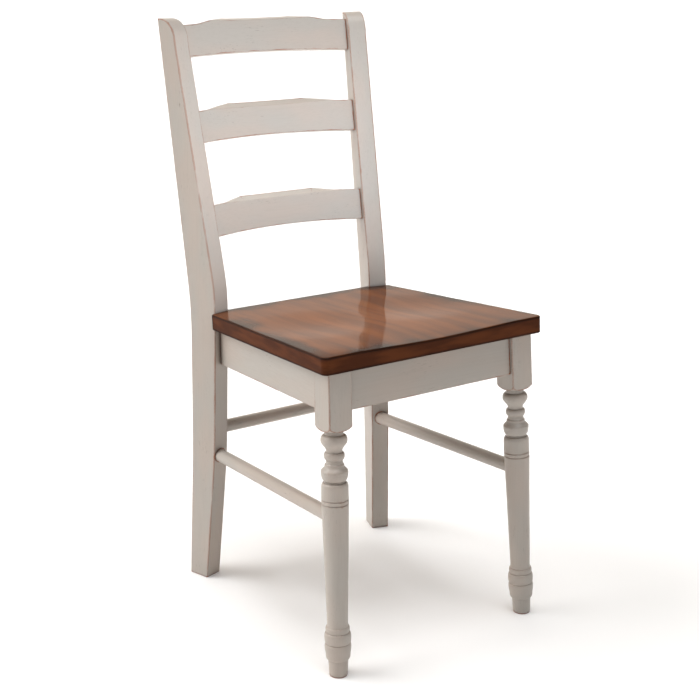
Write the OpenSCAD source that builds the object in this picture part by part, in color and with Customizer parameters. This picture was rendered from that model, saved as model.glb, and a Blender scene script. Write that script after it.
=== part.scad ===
// Ladder-back side chair: saddled board seat on aprons, turned front legs, sawn rear posts,
// three bowed slats and three round stretchers. Millimetres, +Z up, front toward -Y.
// The origin is on the floor, in the middle of the chair's width and depth.

/* [Seat] */
// Width of the seat along its front edge
seat_w = 411; // [340:1:490]
// Depth of the seat from its front edge to its rear edge
seat_d = 398; // [330:1:480]
// Height of the seat's top above the floor at its front edge
seat_h = 508; // [420:1:610]
// Thickness of the seat board
seat_t = 27.3; // [22:0.1:33]
// Fall of the seat toward the back, in degrees
seat_tilt = 3.9; // [0:0.1:6]
// Angle of each side of the seat inward toward the back, in degrees
seat_taper = 3.9; // [0:0.1:5]
// Radius of the seat's front corners
seat_corner_r = 10; // [4:1:25]
// Depth of the two saddle hollows
saddle_depth = 4; // [1:0.5:6]
// Radius of each saddle hollow's rim
saddle_r = 88; // [60:1:95]
// Depth of the dip in the middle of the front edge
front_dip = 3.5; // [1:0.5:6]

/* [Aprons] */
// Height of the aprons
apron_h = 63; // [55:1:80]
// Thickness of the aprons
apron_t = 19; // [16:1:22]
// Distance of the apron faces behind the leg faces
apron_set = 6; // [2:0.5:9]
// Distance from a post's outer edge in to the side apron's face
apron_post_set = 12.5; // [8:0.5:15]
// Width of the rear apron that lies under the seat
apron_rear_lap = 4; // [0:0.5:8]

/* [Front legs] */
// Side of the square block
block_w = 40.6; // [36:0.1:48]
// Length of the square block under the seat
block_len = 84; // [80:1:110]
// Distance from the seat's front edge to the leg's centre
leg_front_set = 32.2; // [28:0.1:45]
// Distance from the seat's side to the leg's centre
leg_side_set = 34.5; // [28:0.5:45]
// Outward splay, in degrees
leg_splay = 1.5; // [0:0.1:3]
// Radius of the turned column under its shoulder
column_r = 20.5; // [18:0.1:24]
// Radius at the foot of the column
ankle_r = 16; // [14:0.1:18]
// Radius of the foot
foot_r = 15.4; // [13:0.1:17]
// Radius of the necks between the beads
neck_r = 12.1; // [11:0.1:14]

/* [Rear posts] */
// Height of the posts
post_h = 952.4; // [800:0.1:1140]
// Thickness of the posts
post_t = 32; // [28:0.5:38]
// Depth of the posts at the seat
post_d = 55.5; // [50:0.5:64]
// Depth of the posts at the foot
post_foot_d = 39; // [34:0.5:50]
// Distance that the feet kick back
post_kick = 24.5; // [0:0.5:30]
// Lean of the back's front face, in degrees
recline_front = 11.9; // [6:0.1:14]
// Lean of the back's rear face, in degrees
recline_rear = 8.2; // [4:0.1:10]
// Inward turn of the posts, in degrees
post_toe = 18; // [10:0.5:20]
// Sideways lean of the posts, in degrees
post_lean = 1.8; // [0:0.1:3]
// Distance from the seat's rear edge forward to the middle of the posts' front faces
post_front_set = 12.5; // [11:0.5:20]
// Distance from the seat's side in to the middle of the posts' front faces
post_side_set = 20.9; // [18:0.1:30]

/* [Slats] */
// Thickness of the slats
slat_t = 18; // [14:0.5:22]
// Distance of the slats behind the posts' front faces
slat_set = 12; // [8:0.5:14]
// Rise of the slats' edges from their ends to the middle
slat_arch = 9.5; // [0:0.5:12]
// Height of the lower slat's end above the floor
lower_slat_z = 595.5; // [580:0.5:640]
// Height of the middle slat's end above the floor
middle_slat_z = 748.5; // [720:0.5:790]
// Height of the top rail's end above the floor
top_rail_z = 886.5; // [860:0.5:892]
// Height of a slat at its ends
slat_h = 53; // [40:0.5:60]
// Height of the top rail at its ends
top_rail_h = 52; // [36:0.5:54]

/* [Stretchers] */
// Diameter of the stretchers
stretcher_d = 22; // [18:0.5:26]
// Height of the side stretchers' centre at the front legs
side_front_z = 250; // [150:1:270]
// Height of the side stretchers' centre at the rear posts
side_rear_z = 229; // [150:1:245]
// Height of the rear stretcher's centre
rear_z = 269; // [262:1:330]

/* [Joints and fasteners] */
// Gap at joint faces
joint_gap = 0.1; // [0.05:0.05:0.3]
// Gap round tenons, dowels and fasteners
fit_gap = 0.15; // [0.05:0.05:0.3]
// Diameter of the apron dowels
dowel_d = 8; // [6:0.5:9]
// Length of the apron dowels
dowel_len = 36; // [28:1:40]
// Diameter of the round tenons on the stretchers
tenon_d = 14; // [10:0.5:16]
// Length of the tenons
tenon_len = 14; // [10:0.5:17]
// Thickness of the tenons on the slats
slat_tenon_t = 9; // [6:0.5:10]
// Height of the corner blocks
brace_h = 30; // [26:1:40]
// Length of a front corner block along each apron
brace_front = 80; // [74:1:90]
// Length of a rear corner block along each apron
brace_rear = 62; // [56:1:70]
// Diameter of the hanger bolts
bolt_d = 8; // [6:0.5:10]
// Diameter of the wood screws
screw_d = 4.5; // [4:0.5:5]

/* [Hidden] */

paint = "#bdb5aa";
stained = "#9c6b49";
raw_wood = "#cfae82";
steel = "#a8a9ab";
round_fn = 96;
ring_fn = 360;
far = 200;

// Plan of the legs and aprons, in the seat's own tilted frame: x right, s back, t up from the seat's top.
under_t = -seat_t;
leg_x = seat_w / 2 - leg_side_set;
leg_s = leg_front_set;
apron_front_s = leg_s - block_w / 2 + apron_set;
apron_top_t = under_t - joint_gap;
apron_mid_t = apron_top_t - apron_h / 2;

function seat_half(s) = seat_w / 2 - s * tan(seat_taper);
function seat_pt(x, s, t) = [
    x,
    s * cos(seat_tilt) + t * sin(seat_tilt),
    seat_h - s * sin(seat_tilt) + t * cos(seat_tilt)
];

// The front leg's axis, followed down from the seat's underside.
leg_top_z = seat_pt(leg_x, leg_s, under_t)[2];
leg_len = leg_top_z / (cos(seat_tilt) * cos(leg_splay));
function leg_at(z) =
    let (t = (z - seat_h + leg_s * sin(seat_tilt)) / cos(seat_tilt))
    seat_pt(leg_x + (under_t - t) * tan(leg_splay), leg_s, t);

// A post's own frame: p across it, q back from its front face at the seat, z up.
post_y = seat_d - post_front_set;
post_x = seat_half(post_y) - post_side_set;
pivot_z = seat_h - post_y * tan(seat_tilt);
function post_pt(p, q, z) =
    let (
        across = p * cos(post_lean) - (z - pivot_z) * sin(post_lean),
        up = p * sin(post_lean) + (z - pivot_z) * cos(post_lean)
    )
    [
        post_x + across * cos(post_toe) + q * sin(post_toe),
        post_y - across * sin(post_toe) + q * cos(post_toe),
        pivot_z + up
    ];

// The post's side outline: straight runs that meet at a knee and at the seat.
knee_z = 230;
front_bend_z = seat_h + 5;
rear_bend_z = seat_h - 28;
front_knee_q = 3.2;
rear_knee_q = post_d - 0.3;
top_round_d = 33;
top_round_h = 35;
foot_extra = 6;
function front_q(z) = z < knee_z
    ? post_kick + (front_knee_q - post_kick) * z / knee_z
    : z < front_bend_z
        ? front_knee_q * (front_bend_z - z) / (front_bend_z - knee_z)
        : (z - front_bend_z) * tan(recline_front);
function rear_q(z) = z < knee_z
    ? post_kick + post_foot_d + (rear_knee_q - post_kick - post_foot_d) * z / knee_z
    : z < rear_bend_z
        ? rear_knee_q + (post_d - rear_knee_q) * (z - knee_z) / (rear_bend_z - knee_z)
        : post_d + (z - rear_bend_z) * tan(recline_rear);

// The end of a slat's middle surface on a post's inner face, and the arc through both ends.
function slat_end(z) = post_pt(-post_t / 2, front_q(z) + slat_set + slat_t / 2, z);
function slat_r(z) = slat_end(z)[0] / sin(post_toe);
slat_rise = slat_end(middle_slat_z + 100) - slat_end(middle_slat_z);
slat_recline = atan2(slat_rise[1], slat_rise[2]);
slat_edge = 7;

// Each slat's top is raised and bevelled between two shoulders. A crown is the bevel's height above the
// slat's end at its front and back edges; a shoulder is where, out from the middle, it starts and ends.
crown_lower = [5, 13.8];
crown_middle = [5.2, 14.8];
crown_top = [10.7, 16.1];
shoulder_lower = [69, 104];
shoulder_middle = [70, 122];
shoulder_top = [66, 124];

// The chair's extent front to back sets its middle: from the front legs' rings to the top rail's crown.
ring_r = 20.5;
ring_z = 46;
front_y = leg_at(ring_z)[1] - ring_r * cos(seat_tilt);
bow_y = slat_r(top_rail_z) * (1 - cos(post_toe)) + slat_t / 2;
crown_z = top_rail_h + crown_top[1];
rear_y = slat_end(top_rail_z)[1] + bow_y * cos(slat_recline) + crown_z * sin(slat_recline);
mid_y = (front_y + rear_y) / 2;

// Curves, as lists of points: steps is the number of chords in each.
steps = 8;
function swell_out(r0, z0, r1, z1) = [
    for (i = [0:steps]) let (a = 90 * i / steps) [r0 + (r1 - r0) * sin(a), z0 + (z1 - z0) * (1 - cos(a))]
];
function swell_in(r0, z0, r1, z1) = [
    for (i = [0:steps]) let (a = 90 * i / steps) [r1 + (r0 - r1) * cos(a), z0 + (z1 - z0) * sin(a)]
];
function sweep(r0, z0, r1, z1) = [
    for (i = [0:steps]) let (f = i / steps) [r0 + (r1 - r0) * (1 - cos(180 * f)) / 2, z0 + (z1 - z0) * f]
];
function toward(a, b, run) = a + (b - a) * run / norm(b - a);
function bend(a, b, c, run) =
    let (from = toward(b, a, run), to = toward(b, c, run))
    [for (i = [0:steps]) let (f = i / steps) (1 - f) ^ 2 * from + 2 * f * (1 - f) * b + f ^ 2 * to];

module chair() { translate([0, -mid_y, 0]) children(); }
module on_seat() { translate([0, -mid_y, seat_h]) rotate([-seat_tilt, 0, 0]) children(); }
module side(sign) { mirror([sign < 0 ? 1 : 0, 0, 0]) children(); }
module both() { side(1) children(); side(-1) children(); }
module above_floor() { intersection() { children(); translate([-2 * far, -2 * far, 0]) cube([4 * far, 4 * far, 10 * far]); } }

module in_leg() { on_seat() translate([leg_x, leg_s, under_t]) rotate([0, -leg_splay, 0]) children(); }
module in_post() {
    chair() translate([post_x, post_y, pivot_z]) rotate([0, 0, -post_toe]) rotate([0, -post_lean, 0])
        translate([0, 0, -pivot_z]) children();
}

// A bar from one point to another, along its own z.
module along(a, b) {
    d = b - a;
    translate(a) rotate([0, acos(d[2] / norm(d)), atan2(d[1], d[0])]) children();
}

// A square with rounded corners.
module eased_square(w, r) {
    square([w - 2 * r, w], center = true);
    square([w, w - 2 * r], center = true);
    for (x = [-1, 1], y = [-1, 1]) translate([x * (w / 2 - r), y * (w / 2 - r)]) circle(r, $fn = 32);
}

// ---- front legs ----

block_ease = 2;
hb = leg_len - block_len;

// Half outline of the turning, from the foot to the block: [radius, height above the floor].
turning = concat(
    swell_out(foot_r - 3.2, -2, foot_r - 1, 4),
    [[foot_r, 24]],
    swell_out(foot_r + 0.1, 26.3, 18.9, 32.3),
    sweep(18.9, 33, 20.45, ring_z),
    swell_in(20.45, ring_z + 0.5, 19.1, 53),
    swell_out(19.1, 53.5, 20.6, 61),
    swell_in(20.6, 63, 17.9, 70.5),
    swell_out(17.9, 71, 18.6, 75),
    swell_in(18.6, 75.5, ankle_r + 0.6, 80),
    [[ankle_r, 85]],
    [[column_r, hb - 122], [column_r - 1.1, hb - 120.8], [column_r, hb - 119.6]],
    [[column_r, hb - 115.4], [column_r - 1.1, hb - 114.2], [column_r, hb - 113]],
    [[column_r - 0.15, hb - 95]],
    swell_in(column_r - 0.15, hb - 94.5, column_r - 4.2, hb - 87.5),
    swell_out(column_r - 5, hb - 85, 20.45, hb - 72),
    sweep(20.45, hb - 70.5, 14.6, hb - 62),
    [[14.6, hb - 60]],
    sweep(neck_r + 0.6, hb - 58, neck_r + 0.2, hb - 53),
    swell_out(neck_r + 0.5, hb - 52.5, 15.6, hb - 47),
    swell_in(15.6, hb - 46.5, neck_r + 0.2, hb - 41),
    sweep(neck_r, hb - 39, 20.05, hb - 23.5),
    swell_in(20.05, hb - 22.5, 15.6, hb - 15),
    [[14, hb - 14], [14, hb - 8]]
);

module leg_turning() {
    rotate_extrude($fn = round_fn) polygon(concat([[0, turning[0][1]]], turning, [[0, hb - 8]]));
}

module leg_block(grow = 0) {
    linear_extrude(block_len + 20) eased_square(block_w + 2 * grow, block_ease);
}

module leg_shoulder() {
    rotate_extrude($fn = round_fn)
        polygon(concat([[0, hb - 9]], [[14, hb - 9]], swell_out(14, hb - 8, block_w * 0.72, hb + 4),
            [[block_w * 0.72, leg_len + 20], [0, leg_len + 20]]));
}

module leg_blank() {
    translate([0, 0, -leg_len]) leg_turning();
    intersection() {
        translate([0, 0, -leg_len]) leg_shoulder();
        translate([0, 0, -block_len - 10]) leg_block();
    }
}

module front_leg(sign) {
    color(paint) above_floor() side(sign) difference() {
        in_leg() leg_blank();
        on_seat() translate([-2 * far, -far, under_t - joint_gap]) cube([4 * far, 4 * far, far]);
        on_seat() front_dowels(fit_gap);
        on_seat() hanger_bolt(fit_gap);
        side_stretcher(fit_gap);
    }
}

// ---- rear posts ----

module post_outline() {
    knee_front = [front_q(knee_z), knee_z];
    knee_rear = [rear_q(knee_z), knee_z];
    foot_front = [front_q(0), -foot_extra];
    foot_rear = [rear_q(0), -foot_extra];
    bend_front = [front_q(front_bend_z), front_bend_z];
    bend_rear = [rear_q(rear_bend_z), rear_bend_z];
    round_z = post_h - top_round_h;
    round_q = front_q(round_z);
    end_q = rear_q(post_h);
    polygon(concat(
        [foot_front],
        bend(foot_front, knee_front, bend_front, 60),
        bend(knee_front, bend_front, [round_q, round_z], 38),
        [for (i = [0:steps]) let (a = 90 * i / steps)
            [round_q + top_round_d * (1 - cos(a)), round_z + top_round_h * sin(a)]],
        [[end_q, post_h]],
        bend([end_q, post_h], bend_rear, knee_rear, 45),
        bend(bend_rear, knee_rear, foot_rear, 60),
        [foot_rear]
    ));
}

module post_blank() {
    translate([-post_t / 2, 0, 0]) rotate([90, 0, 90]) linear_extrude(post_t) post_outline();
}

// The room behind a post's front face, from reach inside its inner face outward.
module post_room(reach, gap) {
    z0 = knee_z + 100;
    z1 = front_bend_z - 15;
    translate([-post_t / 2 - reach, 0, 0]) rotate([90, 0, 90]) linear_extrude(far)
        polygon([[front_q(z0) - gap, z0], [far, z0], [far, z1], [front_q(z1) - gap, z1]]);
}

module rear_post(sign) {
    color(paint) above_floor() side(sign) difference() {
        in_post() post_blank();
        on_seat() rear_dowels(fit_gap);
        slat_tenons(lower_slat_z, slat_h, fit_gap);
        slat_tenons(middle_slat_z, slat_h, fit_gap);
        slat_tenons(top_rail_z, top_rail_h, fit_gap);
        side_stretcher(fit_gap);
        rear_stretcher(fit_gap);
    }
}

// ---- slats ----

module on_slat(z) {
    chair() translate([0, slat_end(z)[1], z]) rotate([-slat_recline, 0, 0]) children();
}

// Height of a slat's plain edge above its end, and how much of its crown there is at x.
function arch(x, half) = slat_arch * (1 - (x / half) ^ 2);
function raised(x, shoulder) = min(1, max(0, (shoulder[1] - abs(x)) / (shoulder[1] - shoulder[0])));

module slat_outline(half, h, shoulder, crown) {
    n = 48;
    polygon(concat(
        [for (i = [0:n]) let (x = half * (2 * i / n - 1)) [x, arch(x, half)]],
        [for (i = [0:n]) let (x = half * (1 - 2 * i / n), a = arch(x, half))
            [x, h + a + (crown[1] - a) * raised(x, shoulder)]]
    ));
}

// What the bevel takes off: a ring round the bow's centre, its underside rising toward the back.
module slat_bevel(r, h, crown) {
    over = 5;
    slope = (crown[1] - crown[0]) / slat_t;
    reach = slat_t / 2 + over;
    rotate_extrude($fn = ring_fn) polygon([
        [r - reach, h + crown[0] - over * slope], [r + reach, h + crown[1] + over * slope],
        [r + reach, h + 2 * crown[1] + over], [r - reach, h + 2 * crown[1] + over]
    ]);
}

module slat_blank(z, h, shoulder, crown) {
    r = slat_r(z);
    half = slat_end(z)[0] + 20;
    on_slat(z) difference() {
        intersection() {
            translate([0, 60, 0]) rotate([90, 0, 0]) linear_extrude(120) slat_outline(half, h, shoulder, crown);
            translate([0, -r * cos(post_toe), -10]) difference() {
                cylinder(h = h + 60, r = r + slat_t / 2, $fn = ring_fn);
                translate([0, 0, -1]) cylinder(h = h + 62, r = r - slat_t / 2, $fn = ring_fn);
            }
        }
        translate([0, -r * cos(post_toe), 0]) slat_bevel(r, h, crown);
    }
}

// The tenon on a slat's right end, and with its gap the mortise for it.
module slat_tenons(z, h, gap = 0) {
    root = 5;
    tenon_h = h - 2 * slat_edge;
    on_slat(z) translate([slat_end(z)[0], 0, slat_edge])
        rotate([0, 0, -post_toe]) translate([-root, -slat_tenon_t / 2 - gap, -gap])
            cube([root + tenon_len + gap, slat_tenon_t + 2 * gap, tenon_h + 2 * gap]);
}

module slat(z, h, shoulder, crown) {
    color(paint) {
        difference() {
            slat_blank(z, h, shoulder, crown);
            both() in_post() translate([-post_t / 2 - joint_gap, -far, z - far]) cube([far, 4 * far, 2 * far]);
        }
        both() slat_tenons(z, h);
    }
}

// ---- stretchers ----

socket = 5;

module rod(a, b, gap) {
    len = norm(b - a);
    along(a, b) {
        cylinder(h = len, r = stretcher_d / 2 + gap, $fn = round_fn);
        translate([0, 0, -tenon_len - gap])
            cylinder(h = len + 2 * tenon_len + 2 * gap, r = tenon_d / 2 + gap, $fn = round_fn);
    }
}

// Centres of the right stretcher's shoulders: a little inside the leg and the post.
side_front_pt = leg_at(side_front_z) + [0, column_r - socket - 3, 0];
side_rear_pt = post_pt(0, front_q(side_rear_z) + socket, side_rear_z);

module side_stretcher(gap = 0) { chair() rod(side_front_pt, side_rear_pt, gap); }

rear_rod_q = (front_q(rear_z) + rear_q(rear_z)) / 2;
rear_rod_pt = post_pt(-post_t / 2 + socket, rear_rod_q, rear_z);

module rear_stretcher(gap = 0) {
    chair() rod([-rear_rod_pt[0], rear_rod_pt[1], rear_rod_pt[2]], rear_rod_pt, gap);
}

// ---- seat ----

module seat_outline() {
    r = seat_corner_r;
    rear = seat_d / cos(seat_tilt);
    corner = seat_half(0) - r * (1 / cos(seat_taper) + tan(seat_taper));
    polygon([
        [-corner, 0], [corner, 0],
        [seat_half(r), r], [seat_half(rear), rear],
        [-seat_half(rear), rear], [-seat_half(r), r]
    ]);
    for (x = [-1, 1]) translate([x * corner, r]) circle(r, $fn = 64);
}

// A long shallow trough, deepest at the front edge, that runs out toward the middle of the seat.
module front_trough() {
    half_w = seat_w * 0.4;
    r = (half_w ^ 2 + front_dip ^ 2) / (2 * front_dip);
    slope = atan(front_dip / (seat_d * 0.45));
    translate([0, 0, -front_dip]) rotate([slope, 0, 0]) translate([0, -50, r])
        rotate([-90, 0, 0]) cylinder(h = seat_d, r = r, $fn = ring_fn);
}

module seat() {
    ball_r = (saddle_r ^ 2 + saddle_depth ^ 2) / (2 * saddle_depth);
    color(stained) difference() {
        on_seat() translate([0, 0, under_t]) linear_extrude(seat_t) seat_outline();
        on_seat() front_trough();
        both() in_post() post_room(joint_gap, joint_gap);
        both() on_seat() translate([seat_w / 4 - 6, seat_d / 2, ball_r - saddle_depth])
            sphere(ball_r, $fn = ring_fn);
        on_seat() seat_screw_set(fit_gap);
    }
}

// ---- aprons ----

// Outer face of the right side apron: from behind the leg block to the post.
side_s0 = leg_s + block_w / 2;
side_x0 = leg_x + block_w / 2 - apron_set + (under_t - apron_mid_t) * tan(leg_splay);
side_end = post_pt(post_t / 2, front_q(pivot_z - seat_t - apron_h / 2), pivot_z - seat_t - apron_h / 2);
side_s1 = side_end[1] / cos(seat_tilt) - apron_mid_t * tan(seat_tilt);
side_x1 = side_end[0] - apron_post_set;
side_turn = atan((side_x0 - side_x1) / (side_s1 - side_s0));
side_inner_x = apron_t / cos(side_turn);
function side_x(s) = side_x0 - (s - side_s0) * tan(side_turn);

rear_s = seat_d / cos(seat_tilt) - apron_rear_lap;

module apron(points) {
    translate([0, 0, apron_top_t - apron_h]) linear_extrude(apron_h) polygon(points);
}

module apron_front() {
    color(paint) difference() {
        on_seat() apron([
            [-leg_x, apron_front_s], [leg_x, apron_front_s],
            [leg_x, apron_front_s + apron_t], [-leg_x, apron_front_s + apron_t]
        ]);
        both() in_leg() translate([0, 0, -block_len - 10]) leg_block(joint_gap);
        both() on_seat() front_dowels(fit_gap);
        both() on_seat() front_block_screws(fit_gap);
    }
}

module apron_side(sign) {
    a = side_s0 - 10;
    b = side_s1 + 20;
    color(paint) side(sign) difference() {
        on_seat() apron([
            [side_x(a) - side_inner_x, a], [side_x(a), a],
            [side_x(b), b], [side_x(b) - side_inner_x, b]
        ]);
        in_leg() translate([0, 0, -block_len - 10]) leg_block(joint_gap);
        in_post() post_room(60, joint_gap);
        on_seat() translate([0, rear_s - joint_gap, -far]) cube(far);
        on_seat() front_dowels(fit_gap);
        on_seat() rear_dowels(fit_gap);
        on_seat() front_block_screws(fit_gap);
        on_seat() rear_block_screws(fit_gap);
    }
}

module apron_rear() {
    color(paint) difference() {
        on_seat() apron([
            [-post_x, rear_s], [post_x, rear_s],
            [post_x, rear_s + apron_t], [-post_x, rear_s + apron_t]
        ]);
        both() in_post() translate([-post_t / 2 - joint_gap, -far, knee_z]) cube([far, 3 * far, 2 * far]);
        both() on_seat() rear_dowels(fit_gap);
        both() on_seat() rear_block_screws(fit_gap);
    }
}

// ---- dowels ----

front_dowel_t = [under_t - 30, under_t - 52];
rear_dowel_t = [under_t - 19, under_t - 41];

module dowel(gap) {
    translate([0, 0, -dowel_len / 2 - gap]) cylinder(h = dowel_len + 2 * gap, r = dowel_d / 2 + gap, $fn = 48);
}

// The four dowels at the right front leg.
module front_dowels(gap = 0) {
    for (t = front_dowel_t) {
        translate([leg_x - block_w / 2, apron_front_s + apron_t / 2, t]) rotate([0, 90, 0]) dowel(gap);
        translate([side_x(side_s0) - side_inner_x / 2, side_s0, t]) rotate([-90, 0, side_turn]) dowel(gap);
    }
}

// The four dowels at the right rear post: two from the side apron, two from the rear apron.
module rear_dowels(gap = 0) {
    inner = post_pt(-post_t / 2, post_d / 4, pivot_z - seat_t - apron_h / 2);
    for (t = front_dowel_t)
        translate([side_x(side_s1) - side_inner_x / 2, side_s1, t]) rotate([-90, 0, side_turn]) dowel(gap);
    for (t = rear_dowel_t) translate([inner[0], rear_s + apron_t / 2, t]) rotate([0, 90, 0]) dowel(gap);
}

module apron_dowels() {
    color(raw_wood) on_seat() both() {
        front_dowels();
        rear_dowels();
    }
}

// ---- corner blocks and their fasteners ----

brace_top_t = apron_top_t;
brace_mid_t = brace_top_t - brace_h / 2;
washer_r = 10;
washer_t = 1.6;
nut_w = 13;
nut_t = 6.5;
bolt_in = 22;
bolt_out = 3;

// Inner corner of the aprons at the front right and at the rear right.
front_in_s = apron_front_s + apron_t + joint_gap;
front_in_x = side_x(front_in_s) - side_inner_x - joint_gap;
rear_in_s = rear_s - joint_gap;
rear_in_x = side_x(rear_in_s) - side_inner_x - joint_gap;

// A triangular block: its corner at [x, s], its far corners len away along both aprons.
module brace(x, s, len, back) {
    translate([0, 0, brace_top_t - brace_h]) linear_extrude(brace_h)
        polygon([[x, s], [x - len, s], [x - back * len * tan(side_turn), s + back * len]]);
}

module corner_block_front(sign) {
    color(raw_wood) side(sign) difference() {
        on_seat() brace(front_in_x, front_in_s, brace_front, 1);
        in_leg() translate([0, 0, -block_len - 10]) leg_block(joint_gap);
        on_seat() front_block_screws(fit_gap);
        on_seat() hanger_bolt(fit_gap);
        on_seat() seat_screw_front(fit_gap);
    }
}

module corner_block_rear(sign) {
    color(raw_wood) side(sign) difference() {
        on_seat() brace(rear_in_x, rear_in_s, brace_rear, -1);
        in_post() post_room(joint_gap, joint_gap);
        on_seat() rear_block_screws(fit_gap);
        on_seat() seat_screw_rear(fit_gap);
    }
}

// The long face of the front block, square to the bolt's line.
face_turn = atan2(brace_front, brace_front - brace_front * tan(side_turn));
bolt_turn = 90 + face_turn;
face_mid = [front_in_x - brace_front * (1 + tan(side_turn)) / 2, front_in_s + brace_front / 2];
leg_corner = [leg_x - block_w / 2, leg_s + block_w / 2];
bolt_grip = (face_mid - leg_corner) * [-sin(face_turn), cos(face_turn)];

// Along the bolt: z is 0 on the block's long face and positive toward the leg.
module on_bolt() {
    start = leg_corner + bolt_grip * [-sin(face_turn), cos(face_turn)];
    translate([start[0], start[1], brace_mid_t]) rotate([0, 90, face_turn - 90]) children();
}

module hanger_bolt(gap = 0) {
    on_bolt() translate([0, 0, -washer_t - nut_t - bolt_out])
        cylinder(h = washer_t + nut_t + bolt_out + bolt_grip + bolt_in + gap, r = bolt_d / 2 + gap, $fn = 48);
}

module washer(sign) {
    color(steel) side(sign) on_seat() on_bolt() translate([0, 0, -washer_t]) difference() {
        cylinder(h = washer_t - fit_gap / 3, r = washer_r, $fn = round_fn);
        translate([0, 0, -1]) cylinder(h = washer_t + 2, r = bolt_d / 2 + fit_gap, $fn = 48);
    }
}

module nut(sign) {
    color(steel) side(sign) on_seat() on_bolt() translate([0, 0, -washer_t - nut_t]) difference() {
        cylinder(h = nut_t - fit_gap / 3, r = nut_w / sqrt(3), $fn = 6);
        translate([0, 0, -1]) cylinder(h = nut_t + 2, r = bolt_d / 2 + fit_gap, $fn = 48);
    }
}

screw_head_r = 4.2;
screw_head_t = 2.8;

// A pan-head screw along +z, its head seated at z = 0; a gap makes the hole, with a pocket for the head.
module screw(len, gap, pocket) {
    translate([0, 0, -screw_head_t]) cylinder(h = len + screw_head_t + gap, r = screw_d / 2 + gap, $fn = 32);
    if (gap > 0) translate([0, 0, -pocket]) cylinder(h = pocket, r = screw_head_r + 1, $fn = 48);
    else translate([0, 0, -screw_head_t - joint_gap]) cylinder(h = screw_head_t, r = screw_head_r, $fn = 48);
}

block_screw_len = 30;
block_screw_grip = 15;
front_screw_at = 58;
rear_screw_at = 42;
// How far the side apron's inner face has moved inward or outward at those screws.
front_screw_lean = front_screw_at * tan(side_turn);
rear_screw_lean = rear_screw_at * tan(side_turn);

// Screws through the right front block: one into the front apron, one into the side apron.
module front_block_screws(gap = 0) {
    translate([front_in_x - front_screw_at, front_in_s + block_screw_grip, brace_mid_t])
        rotate([90, 0, 0]) screw(block_screw_len, gap, 40);
    translate([front_in_x - block_screw_grip - front_screw_lean, front_in_s + front_screw_at, brace_mid_t])
        rotate([0, 90, side_turn]) screw(block_screw_len, gap, 40);
}

// Screws through the right rear block: one into the rear apron, one into the side apron.
module rear_block_screws(gap = 0) {
    translate([rear_in_x - rear_screw_at, rear_in_s - block_screw_grip, brace_mid_t])
        rotate([-90, 0, 0]) screw(block_screw_len, gap, 40);
    translate([rear_in_x - block_screw_grip + rear_screw_lean, rear_in_s - rear_screw_at, brace_mid_t])
        rotate([0, 90, side_turn]) screw(block_screw_len, gap, 40);
}

module block_screws() {
    color(steel) on_seat() both() {
        front_block_screws();
        rear_block_screws();
    }
}

seat_screw_len = 48;

module seat_screw_front(gap = 0) {
    translate([front_in_x - 45, front_in_s + 12, brace_top_t - brace_h - joint_gap]) screw(seat_screw_len, gap, 10);
}

module seat_screw_rear(gap = 0) {
    translate([rear_in_x - 18, rear_in_s - 18, brace_top_t - brace_h - joint_gap]) screw(seat_screw_len, gap, 10);
}

module seat_screw_set(gap = 0) {
    both() {
        seat_screw_front(gap);
        seat_screw_rear(gap);
    }
}

module seat_screws() { color(steel) on_seat() seat_screw_set(); }

seat();
apron_front();
apron_side(-1);  // apron_left
apron_side(1);  // apron_right
apron_rear();
front_leg(-1);  // front_leg_left
front_leg(1);  // front_leg_right
rear_post(-1);  // rear_post_left
rear_post(1);  // rear_post_right
slat(lower_slat_z, slat_h, shoulder_lower, crown_lower);  // lower_slat
slat(middle_slat_z, slat_h, shoulder_middle, crown_middle);  // middle_slat
slat(top_rail_z, top_rail_h, shoulder_top, crown_top);  // top_rail
color(paint) side(-1) side_stretcher();  // stretcher_left
color(paint) side_stretcher();  // stretcher_right
color(paint) rear_stretcher();  // stretcher_rear
corner_block_front(-1);  // corner_block_front_left
corner_block_front(1);  // corner_block_front_right
corner_block_rear(-1);  // corner_block_rear_left
corner_block_rear(1);  // corner_block_rear_right
color(steel) side(-1) on_seat() hanger_bolt();  // hanger_bolt_left
color(steel) on_seat() hanger_bolt();  // hanger_bolt_right
washer(-1);  // washer_left
washer(1);  // washer_right
nut(-1);  // nut_left
nut(1);  // nut_right
apron_dowels();
block_screws();
seat_screws();
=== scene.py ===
"""A ladder-back side chair: greige paint, rubbed through at the edges, and a stained and lacquered seat.

Metres, +Z up, the chair's front toward -Y. The turned and round pieces are the CAD's own; the sawn pieces are
copies of theirs with eased edges, and the seat is modelled again with its soft saddle.
"""
import math

import bmesh
import bpy
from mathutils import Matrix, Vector
from mathutils.geometry import normal


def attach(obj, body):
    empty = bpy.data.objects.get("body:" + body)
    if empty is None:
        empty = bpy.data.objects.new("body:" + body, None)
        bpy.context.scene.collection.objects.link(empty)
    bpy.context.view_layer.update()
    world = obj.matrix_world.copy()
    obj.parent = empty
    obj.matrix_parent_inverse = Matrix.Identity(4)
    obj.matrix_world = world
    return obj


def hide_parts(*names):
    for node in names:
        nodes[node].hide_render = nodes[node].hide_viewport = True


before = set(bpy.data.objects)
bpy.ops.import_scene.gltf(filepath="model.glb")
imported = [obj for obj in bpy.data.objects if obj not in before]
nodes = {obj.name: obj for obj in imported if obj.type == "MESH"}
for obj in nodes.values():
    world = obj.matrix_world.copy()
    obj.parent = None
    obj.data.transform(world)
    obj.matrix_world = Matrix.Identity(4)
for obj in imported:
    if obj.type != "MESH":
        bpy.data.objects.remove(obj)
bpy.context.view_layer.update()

MM = 0.001
AXES = "xyz"
RIGHT = Vector((1, 0, 0))


# ---- materials ----

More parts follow.
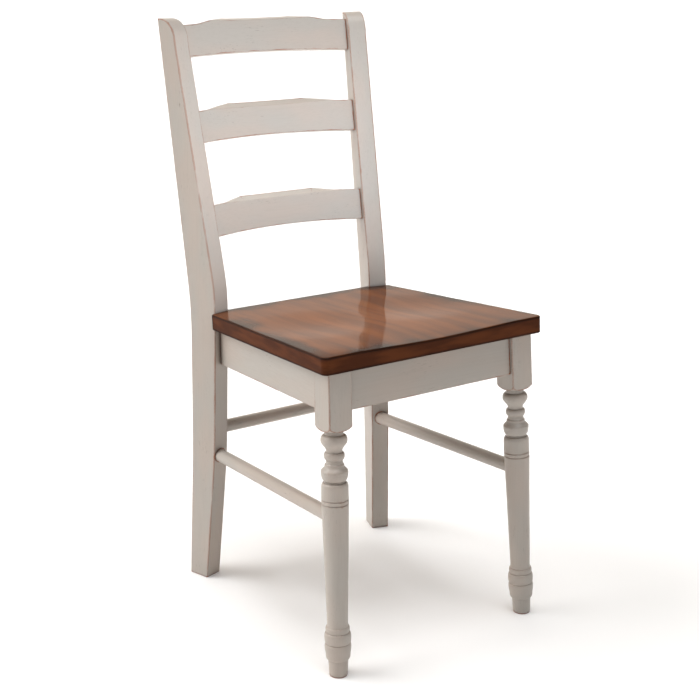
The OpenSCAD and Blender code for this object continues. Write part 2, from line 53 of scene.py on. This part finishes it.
# Greige paint: its two slow tones, the brush strokes, brown for pores and painted shade in joints, the wood
# under it.
PAINT_WARM = "#b5a99f"
PAINT_COOL = "#b0a9a1"
PAINT_STROKE = "#9e9288"
PORE_AND_SHADE_BROWN = "#4f4038"
RUBBED = "#8f5538"
# Millimetres that the painted shade reaches out of a joint, and that the rubbing reaches in from an edge.
SHADE_REACH = 8
WEAR_REACH = 3.5
# How strongly the grain breaks up the rubbed lines.
WEAR_BREAKUP = 1.3

# The seat's stain: lighter and darker figure, its fine lines, and the burnish round the rim.
STAIN_LIGHT = "#6e3a11"
STAIN_DEEP = "#582d0d"
STAIN_LINE = "#3e200b"
BURNISH = "#21120b"
# The seat's edge band: darker and lighter stain, and the line along its sharp edges.
BAND_DARK = "#48230f"
BAND_RED = "#5c3016"
EDGE_LINE = "#100704"
# Millimetres that the edge line reaches in from the edges.
LINE_REACH = 5

# Bare softwood and its growth rings; zinc plating and its clouds.
PINE = "#d9bd92"
PINE_RING = "#b98f5f"
ZINC = "#b9bcc0"
ZINC_CLOUD = "#94979c"

# The colour sockets of a Mix node: its two inputs and its output.
MIX_A, MIX_B, MIX_OUT = 6, 7, 2


def linear(colour):
    """Turns an sRGB hex colour such as "#bdb5aa" into the linear RGBA that a shader takes."""
    parts = [int(colour[i:i + 2], 16) / 255 for i in (1, 3, 5)]
    return tuple(c / 12.92 if c <= 0.04045 else ((c + 0.055) / 1.055) ** 2.4 for c in parts) + (1.0,)


def plug(tree, node, inputs):
    """Fills a node's inputs, by name or number: each with a constant, or with another node's output."""
    for key, value in inputs.items():
        if isinstance(value, bpy.types.NodeSocket):
            tree.links.new(value, node.inputs[key])
        else:
            node.inputs[key].default_value = value


def add(tree, kind, inputs=None, **settings):
    """Adds a shader node with its settings and its inputs."""
    node = tree.nodes.new("ShaderNode" + kind)
    for name, value in settings.items():
        setattr(node, name, value)
    plug(tree, node, inputs or {})
    return node


def new_material(name):
    """Returns a new material, its node tree and its Principled shader."""
    material = bpy.data.materials.new(name)
    material.use_nodes = True
    return material, material.node_tree, material.node_tree.nodes["Principled BSDF"]


def stretched_noise(tree, grain, along, across, detail, seed):
    """Noise drawn out along one axis; along and across are its feature sizes in millimetres."""
    size = [across, across, across]
    size[AXES.index(grain)] = along
    place = add(tree, "TexCoord").outputs["Object"]
    scaled = add(tree, "Mapping", {
        "Vector": place,
        "Location": (seed, seed * 0.7, seed * 1.3),
        "Scale": [1 / (s * MM) for s in size],
    })
    noise = add(tree, "TexNoise", {"Vector": scaled.outputs[0], "Scale": 1.0, "Detail": detail})
    return noise.outputs[0]


def layer(tree, under, colour, pattern, low, high, most=1.0):
    """Lays a colour over what is under it: none where the pattern is below low, most of it above high."""
    cover = add(
        tree, "MapRange", {"Value": pattern, "From Min": low, "From Max": high, "To Max": most},
        interpolation_type="SMOOTHSTEP",
    )
    mixed = add(tree, "Mix", {0: cover.outputs[0], MIX_A: under, MIX_B: colour}, data_type="RGBA")
    return mixed.outputs[MIX_OUT]


def near_edge(tree, reach):
    """0 on flat faces, rising over reach millimetres toward the piece's own outside edges."""
    inner = add(tree, "AmbientOcclusion", {"Distance": reach * MM}, samples=8, inside=True, only_local=True)
    return add(tree, "Math", {0: 1.0, 1: inner.outputs["AO"]}, operation="SUBTRACT").outputs[0]


def closed_in(tree, reach):
    """0 in the open, rising where other surfaces lie within reach millimetres, as in joints and grooves."""
    outer = add(tree, "AmbientOcclusion", {"Distance": reach * MM}, samples=6)
    return add(tree, "Math", {0: 1.0, 1: outer.outputs["AO"]}, operation="SUBTRACT").outputs[0]


def rubbed_edges(tree, grain, rub):
    """A pattern along the outside edges, broken up along the grain; a higher rub bares more of each edge."""
    grain_noise = stretched_noise(tree, grain, 38, 7, detail=3, seed=4.1)
    broken = add(tree, "Math", {0: grain_noise, 1: WEAR_BREAKUP}, operation="MULTIPLY").outputs[0]
    edge = near_edge(tree, WEAR_REACH)
    return add(tree, "Math", {0: edge, 1: rub, 2: broken}, operation="MULTIPLY_ADD").outputs[0]


def pore_dashes(tree, grain):
    """Short dashes along the grain, gathered in drifts: 0.55 in the middle of a dash, 0 between them."""
    pores = stretched_noise(tree, grain, 11, 0.8, detail=1, seed=7.0)
    dashes = add(
        tree, "MapRange", {"Value": pores, "From Min": 0.66, "From Max": 0.74, "To Max": 0.55},
        interpolation_type="SMOOTHSTEP",
    )
    open_grain = stretched_noise(tree, grain, 90, 26, detail=1, seed=3.0)
    drifts = add(
        tree, "MapRange", {"Value": open_grain, "From Min": 0.5, "From Max": 0.68},
        interpolation_type="SMOOTHSTEP",
    )
    return add(tree, "Math", {0: dashes.outputs[0], 1: drifts.outputs[0]}, operation="MULTIPLY").outputs[0]


def greige_paint(name, grain, rub):
    """Satin greige paint on wood: brushed along the grain, rubbed through along the edges.

    The wood's pores print through as short dark dashes, and painted shade darkens the grooves and joints
    toward brown.
    """
    material, tree, surface = new_material(name)
    tone = stretched_noise(tree, grain, 160, 55, detail=2, seed=1.0)
    paint = layer(tree, linear(PAINT_WARM), linear(PAINT_COOL), tone, 0.35, 0.65)
    strokes = stretched_noise(tree, grain, 90, 1.8, detail=4, seed=2.0)
    paint = layer(tree, paint, linear(PAINT_STROKE), strokes, 0.42, 0.75, most=0.16)
    dashes = pore_dashes(tree, grain)
    pores = {0: dashes, MIX_A: paint, MIX_B: linear(PORE_AND_SHADE_BROWN)}
    paint = add(tree, "Mix", pores, data_type="RGBA").outputs[MIX_OUT]
    # Painted shade: the paint turns brown where other surfaces lie near, in joints and grooves.
    paint = layer(tree, paint, linear(PORE_AND_SHADE_BROWN), closed_in(tree, SHADE_REACH), 0.22, 0.72, most=0.9)
    paint = layer(tree, paint, linear(RUBBED), rubbed_edges(tree, grain, rub), 1.15, 1.5)
    relief = add(tree, "Math", {0: dashes, 1: -0.8, 2: strokes}, operation="MULTIPLY_ADD").outputs[0]
    bump = add(tree, "Bump", {"Strength": 0.35, "Distance": 0.15 * MM, "Height": relief})
    sheen = add(tree, "MapRange", {
        "Value": strokes, "From Min": 0.3, "From Max": 0.7, "To Min": 0.32, "To Max": 0.44,
    })
    plug(tree, surface, {"Base Color": paint, "Roughness": sheen.outputs[0], "Normal": bump.outputs[0]})
    return material


def lacquered_seat():
    """Clear lacquer over orange-brown stain: long soft figure, and a burnish that fades in from the rim.

    The rim attribute is the distance in millimetres from the seat's outline: 0 on the edge band.
    """
    material, tree, surface = new_material("stained_lacquered_wood")
    figure = stretched_noise(tree, "y", 320, 26, detail=3, seed=5.0)
    stain = layer(tree, linear(STAIN_LIGHT), linear(STAIN_DEEP), figure, 0.35, 0.68)
    lines = stretched_noise(tree, "y", 110, 1.2, detail=3, seed=6.0)
    stain = layer(tree, stain, linear(STAIN_LINE), lines, 0.5, 0.75, most=0.25)
    rim = add(tree, "Attribute", attribute_name="rim").outputs["Fac"]
    cloud = stretched_noise(tree, "y", 90, 70, detail=1, seed=8.0)
    # The noise is about 0.5, so the burnish has faded out 35 mm in from the rim, more or less.
    inward = add(tree, "Math", {0: cloud, 1: -90.0, 2: rim}, operation="MULTIPLY_ADD").outputs[0]
    stain = layer(tree, linear(BURNISH), stain, inward, -56.0, -10.0)
    bump = add(tree, "Bump", {"Strength": 0.1, "Distance": 0.1 * MM, "Height": lines})
    plug(tree, surface, {
        "Base Color": stain, "Roughness": 0.6, "Specular IOR Level": 0.02,
        "Coat Weight": 0.44, "Coat Roughness": 0.09, "Normal": bump.outputs[0],
    })
    return material


def lacquered_edge():
    """The seat's edge band: the same stain, soaked in darker, and a nearly black line along its edges."""
    material, tree, surface = new_material("stained_edge_band")
    streaks = stretched_noise(tree, "z", 12, 70, detail=2, seed=9.0)
    stain = layer(tree, linear(BAND_DARK), linear(BAND_RED), streaks, 0.34, 0.68)
    stain = layer(tree, stain, linear(EDGE_LINE), near_edge(tree, LINE_REACH), 0.05, 0.2, most=0.95)
    plug(tree, surface, {
        "Base Color": stain, "Roughness": 0.6, "Specular IOR Level": 0.05,
        "Coat Weight": 0.05, "Coat Roughness": 0.15,
    })
    return material


def bare_wood():
    """Planed softwood with no finish: pale straw with darker growth rings, dry and matt."""
    material, tree, surface = new_material("planed_bare_softwood")
    rings = stretched_noise(tree, "x", 160, 4.5, detail=3, seed=1.5)
    wood = layer(tree, linear(PINE), linear(PINE_RING), rings, 0.35, 0.65)
    bump = add(tree, "Bump", {"Strength": 0.3, "Distance": 0.2 * MM, "Height": rings})
    plug(tree, surface, {"Base Color": wood, "Roughness": 0.75, "Normal": bump.outputs[0]})
    return material


def zinc_plated_steel():
    """Bright zinc plating on steel: pale blue-grey metal, clouded and not polished."""
    material, tree, surface = new_material("zinc_plated_steel")
    cloud = stretched_noise(tree, "z", 3, 3, detail=2, seed=2.5)
    metal = layer(tree, linear(ZINC), linear(ZINC_CLOUD), cloud, 0.3, 0.7)
    dull = add(tree, "MapRange", {
        "Value": cloud, "From Min": 0.3, "From Max": 0.7, "To Min": 0.32, "To Max": 0.48,
    })
    plug(tree, surface, {"Base Color": metal, "Metallic": 1.0, "Roughness": dull.outputs[0]})
    return material


# The paint for each direction of the grain: uprights are rubbed harder than slats and aprons.
painted = {
    "x": greige_paint("greige_paint_grain_x", "x", rub=2.3),
    "y": greige_paint("greige_paint_grain_y", "y", rub=2.5),
    "z": greige_paint("greige_paint_grain_z", "z", rub=3.2),
}
stained = lacquered_seat()
stained_edge = lacquered_edge()
bare = bare_wood()
zinc = zinc_plated_steel()


# ---- sawn pieces: posts, slats and aprons ----

# Points this near, in millimetres, are one, and faces at less than this angle are one flat face.
WELD = 0.005
FLAT = math.radians(0.4)
# An edge is a corner above this angle, and is shaded sharp above the second one.
CORNER = math.radians(35)
SHARP = math.radians(50)
# Edges whose box is smaller than this, in millimetres, go round a hole and not round the piece.
HOLE_SIZE = 100
# A face whose normal runs this nearly along the butt axis is a butted end.
END_ON = 0.85


def merged(node):
    """A CAD node's mesh as one closed skin, its flat faces whole."""
    work = bmesh.new()
    work.from_mesh(nodes[node].data)
    bmesh.ops.remove_doubles(work, verts=work.verts, dist=WELD * MM)
    bmesh.ops.dissolve_limit(work, angle_limit=FLAT, verts=work.verts, edges=work.edges)
    return work


def chains(edges):
    """Groups edges that meet at their ends, in the same order each time."""
    left = dict.fromkeys(edges)
    groups = []
    while left:
        group = [next(iter(left))]
        del left[group[0]]
        for edge in group:
            for linked in (e for v in edge.verts for e in v.link_edges):
                if linked in left:
                    del left[linked]
                    group.append(linked)
        groups.append(group)
    return groups


def extent(edges):
    """The diagonal of the box round some edges."""
    points = [v.co for e in edges for v in e.verts]
    return math.dist(*[[end(p[i] for p in points) for i in range(3)] for end in (min, max)])


def outline(work, butt):
    """The sharp outside edges of a piece, without its holes, nor its ends along the butt axis."""
    def at_end(edge):
        return butt and any(abs(f.normal[AXES.index(butt)]) > END_ON for f in edge.link_faces)

    sharp = [e for e in work.edges if e.is_manifold and e.is_convex and e.calc_face_angle() > CORNER]
    kept = [e for e in sharp if not at_end(e)]
    return [e for group in chains(kept) if extent(group) > HOLE_SIZE * MM for e in group]


def finish_piece(node, work, materials):
    """Makes the mesh an object that stands for a CAD node, its flat faces shaded flat."""
    name = node + "_finished"
    mesh = bpy.data.meshes.new(name)
    work.to_mesh(mesh)
    work.free()
    mesh.shade_smooth()
    mesh.set_sharp_from_angle(angle=SHARP)
    for material in materials:
        mesh.materials.append(material)
    piece = bpy.data.objects.new(name, mesh)
    bpy.context.scene.collection.objects.link(piece)
    weighted = piece.modifiers.new("flat_faces", "WEIGHTED_NORMAL")
    weighted.keep_sharp = True
    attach(piece, "root")
    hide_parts(node)


def eased_piece(node, grain, ease, butt):
    """A sawn piece: the CAD's shape with its outside edges rounded over by ease millimetres."""
    work = merged(node)
    bmesh.ops.bevel(
        work, geom=outline(work, butt), offset=ease * MM, offset_type="OFFSET", segments=3, profile=0.5,
        affect="EDGES", material=-1,
    )
    finish_piece(node, work, [painted[grain]])


# Node, the grain's axis, how far its edges are eased, and the axis along which its ends butt.
SAWN = (
    ("rear_post_left", "z", 1.6, None),
    ("rear_post_right", "z", 1.6, None),
    ("lower_slat", "x", 1.2, "x"),
    ("middle_slat", "x", 1.2, "x"),
    ("top_rail", "x", 1.2, "x"),
    ("apron_front", "x", 1.2, "x"),
    ("apron_rear", "x", 1.2, "x"),
    ("apron_left", "y", 1.2, "y"),
    ("apron_right", "y", 1.2, "y"),
)
for node, grain, ease, butt in SAWN:
    eased_piece(node, grain, ease, butt)


# ---- the seat ----

# All in millimetres. How far its edges are rounded over, and how deep the part is that follows the saddle:
# the rounding and a hair more.
SEAT_EASE = 2.4
SADDLED = SEAT_EASE + 0.1
# The spacing of its grid, and how near a cut a point is taken as on it.
SEAT_GRID = 6.0
ON_CUT = 0.001
# The two hollows: their depth and radius, how far out to each side, and how far back from the front edge.
HOLLOW_DEPTH = 4.0
HOLLOW_R = 112.0
HOLLOW_X = 95.0
HOLLOW_S = 200.0
# The dip in the middle of the front edge: its depth, its half width, and how far back it runs.
DIP_DEPTH = 3.5
DIP_HALF = 162.0
DIP_RUN = 175.0
# How nearly a face's normal runs along the way up: on the CAD seat's underside, on the new board's top and
# underside, and where its edge band begins.
PARALLEL = 0.9999
LEVEL = 0.9
BAND_LEAN = 0.75


def underside():
    """The CAD seat's underside: its outline's points in order, the way up, and the seat's thickness."""
    work = merged("seat")
    down = min(work.faces, key=lambda f: f.normal.z).normal
    under = [f for f in work.faces if f.normal.dot(down) > PARALLEL]
    border = [e for e in work.edges if sum(f in under for f in e.link_faces) == 1]
    edges = max(chains(border), key=extent)
    points = [edges[0].verts[0]]
    here = edges[0].verts[1]
    while here != points[0]:
        points.append(here)
        last = points[-2]
        here = next(e.other_vert(here) for e in edges if here in e.verts and last not in e.verts)
    corners = [v.co.copy() for v in points]
    up = normal(corners)
    if up.z < 0:
        up.negate()
    thick = max(up.dot(v.co) for v in work.verts) - up.dot(corners[0])
    work.free()
    return corners, up, thick


def distance_to_edge(point, corners):
    """Distance from a point to the nearest side of a closed outline, all in one plane."""
    best = math.inf
    for i, a in enumerate(corners):
        b = corners[i - 1]
        side = b - a
        share = max(0.0, min(1.0, (point - a).dot(side) / side.length_squared))
        best = min(best, (point - a - side * share).length)
    return best


def saddle(x, s):
    """How far the top is hollowed at x across and s back from the front edge, in millimetres."""
    away = math.hypot(abs(x) - HOLLOW_X, s - HOLLOW_S) / HOLLOW_R
    hollow = HOLLOW_DEPTH * max(0.0, 1 - away ** 2) ** 2
    dip = DIP_DEPTH * max(0.0, 1 - (x / DIP_HALF) ** 2) ** 2 * max(0.0, 1 - s / DIP_RUN) ** 2
    return hollow + dip


def raised_board(corners, up, thick):
    """The outline raised to the seat's thickness, with its top and bottom edges rounded over."""
    work = bmesh.new()
    bottom = work.faces.new([work.verts.new(c) for c in corners])
    raised = bmesh.ops.extrude_face_region(work, geom=[bottom], use_keep_orig=True)["geom"]
    bmesh.ops.translate(work, vec=up * thick, verts=[g for g in raised if isinstance(g, bmesh.types.BMVert)])
    bmesh.ops.recalc_face_normals(work, faces=work.faces)
    rims = [e for e in work.edges if any(abs(f.normal.dot(up)) > LEVEL for f in e.link_faces)]
    bmesh.ops.bevel(
        work, geom=rims, offset=SEAT_EASE * MM, offset_type="OFFSET", segments=4, profile=0.5,
        affect="EDGES", material=-1,
    )
    return work


def cut_grid(work, front, ways):
    """Cuts a board into a grid along two ways, fine enough to take the saddle."""
    spans = [[end((v.co - front).dot(way) for v in work.verts) for end in (min, max)] for way in ways]
    for way, (low, high) in zip(ways, spans):
        for i in range(1, int((high - low) / (SEAT_GRID * MM))):
            bmesh.ops.bisect_plane(
                work, geom=work.verts[:] + work.edges[:] + work.faces[:], dist=ON_CUT * MM,
                plane_co=front + way * (low + i * SEAT_GRID * MM), plane_no=way,
            )


def seat():
    """The seat board: raised, cut into a grid, measured from its rim and hollowed."""
    corners, up, thick = underside()
    back = up.cross(RIGHT)
    front = min(corners, key=lambda c: c.dot(back))
    work = raised_board(corners, up, thick)
    cut_grid(work, front, (RIGHT, back))
    rim = work.verts.layers.float.new("rim")
    top_outline = [c + up * thick for c in corners]
    for vert in work.verts:
        height = (vert.co - corners[0]).dot(up)
        vert[rim] = distance_to_edge(vert.co + up * (thick - height), top_outline) / MM
        if height > thick - SADDLED * MM:
            x = vert.co.x / MM
            s = (vert.co - front).dot(back) / MM
            vert.co -= up * saddle(x, s) * MM
    for face in work.faces:
        face.material_index = int(abs(face.normal.dot(up)) < BAND_LEAN)
    finish_piece("seat", work, [stained, stained_edge])


seat()


# ---- turned, round and hidden pieces keep the CAD's shape ----

def dress(node, material):
    """Gives a CAD node its material."""
    nodes[node].data.materials.clear()
    nodes[node].data.materials.append(material)


for node in nodes:
    if node.startswith("front_leg"):
        dress(node, painted["z"])
    elif node == "stretcher_rear":
        dress(node, painted["x"])
    elif node.startswith("stretcher"):
        dress(node, painted["y"])
    elif node.startswith("corner_block") or node == "apron_dowels":
        dress(node, bare)
    elif node.startswith(("hanger_bolt", "washer", "nut")) or node.endswith("screws"):
        dress(node, zinc)


# ---- the stage ----

# The floor's radius in metres, its colour, and a little light of its own that lifts the shadows.
FLOOR_R = 60
FLOOR_WHITE = "#fafafa"
FLOOR_GLOW = 0.07

# The room's brightness all round and at the middle of the wall behind the chair, and its warm white.
AMBIENT = 0.05
BACK_WALL = 1.15
ROOM_WHITE = "#fff5e9"
# Name, azimuth, elevation, strength, width in degrees.
LIGHTS = (
    ("left_rear", -125, 40, 1.75, 40),
    ("front", 10, 40, 0.25, 40),
    ("top", 0, 85, 1.7, 40),
)
# Place, target, side in metres, power in watts; and its cool white.
SOFTBOX = ((-0.05, -0.2, 0.82), (-0.05, 0.22, 0.78), 0.4, 2.0)
SOFTBOX_WHITE = "#f0f7ff"

# The eye's place in metres, its angles down and to the right in degrees, and its lens in millimetres.
EYE = (-1.1988, -1.7998, 1.0766)
LOOK_DOWN = 16.87
LOOK_RIGHT = 33.96
LENS = 69.85
SENSOR = 36


def white_floor():
    """A plain white floor, wide enough to fill every view down onto the chair."""
    material, tree, surface = new_material("matt_white_sweep")
    plug(tree, surface, {
        "Base Color": linear(FLOOR_WHITE), "Roughness": 0.9, "Specular IOR Level": 0.0,
        "Emission Color": (1, 1, 1, 1), "Emission Strength": FLOOR_GLOW,
    })
    work = bmesh.new()
    bmesh.ops.create_circle(work, cap_ends=True, segments=64, radius=FLOOR_R)
    mesh = bpy.data.meshes.new("floor")
    work.to_mesh(mesh)
    work.free()
    mesh.materials.append(material)
    floor = bpy.data.objects.new("floor", mesh)
    bpy.context.scene.collection.objects.link(floor)


def sun(name, azimuth, elevation, strength, softness):
    """A broad soft light from a direction: azimuth 0 is the chair's front, 90 its right side."""
    data = bpy.data.lights.new(name, "SUN")
    data.energy = strength
    data.angle = math.radians(softness)
    lamp = bpy.data.objects.new(name, data)
    lamp.rotation_euler = (math.radians(90 - elevation), 0, math.radians(azimuth))
    bpy.context.scene.collection.objects.link(lamp)


def softbox(place, target, size, power):
    """A square soft light of a size in metres and a power in watts, turned to its target."""
    data = bpy.data.lights.new("softbox", "AREA")
    data.shape = "SQUARE"
    data.size = size
    data.energy = power
    data.color = linear(SOFTBOX_WHITE)[:3]
    lamp = bpy.data.objects.new("softbox", data)
    lamp.location = place
    lamp.rotation_euler = (Vector(target) - lamp.location).to_track_quat("-Z", "Y").to_euler()
    lamp.visible_camera = False
    bpy.context.scene.collection.objects.link(lamp)


def studio():
    """A room with its bright side behind the chair, broad lights, and a softbox before the slats.

    The room itself shows as plain white, past the floor's far edge.
    """
    world = bpy.data.worlds.new("studio")
    world.use_nodes = True
    tree = world.node_tree
    toward = add(tree, "TexCoord").outputs["Generated"]
    behind = add(tree, "VectorMath", {0: toward, 1: (0, 1, 0)}, operation="DOT_PRODUCT").outputs["Value"]
    glow = add(tree, "MapRange", {
        "Value": behind, "From Min": 0.1, "From Max": 0.8, "To Min": AMBIENT, "To Max": BACK_WALL,
    })
    room = tree.nodes["Background"]
    plug(tree, room, {"Color": linear(ROOM_WHITE), "Strength": glow.outputs[0]})
    backdrop = add(tree, "Background", {"Color": (1, 1, 1, 1), "Strength": 1.0}).outputs[0]
    seen = add(tree, "LightPath").outputs["Is Camera Ray"]
    shown = add(tree, "MixShader", {0: seen, 1: room.outputs[0], 2: backdrop}).outputs[0]
    plug(tree, tree.nodes["World Output"], {"Surface": shown})
    bpy.context.scene.world = world
    for light in LIGHTS:
        sun(*light)
    softbox(*SOFTBOX)


def camera():
    """Looks at the chair from the front and its left, a little above its back."""
    data = bpy.data.cameras.new("camera")
    data.lens = LENS
    data.sensor_width = SENSOR
    data.clip_end = 200
    eye = bpy.data.objects.new("camera", data)
    eye.location = EYE
    eye.rotation_euler = (math.radians(90 - LOOK_DOWN), 0, math.radians(-LOOK_RIGHT))
    bpy.context.scene.collection.objects.link(eye)
    bpy.context.scene.camera = eye


white_floor()
studio()
camera()
bpy.context.scene.view_settings.view_transform = "Standard"
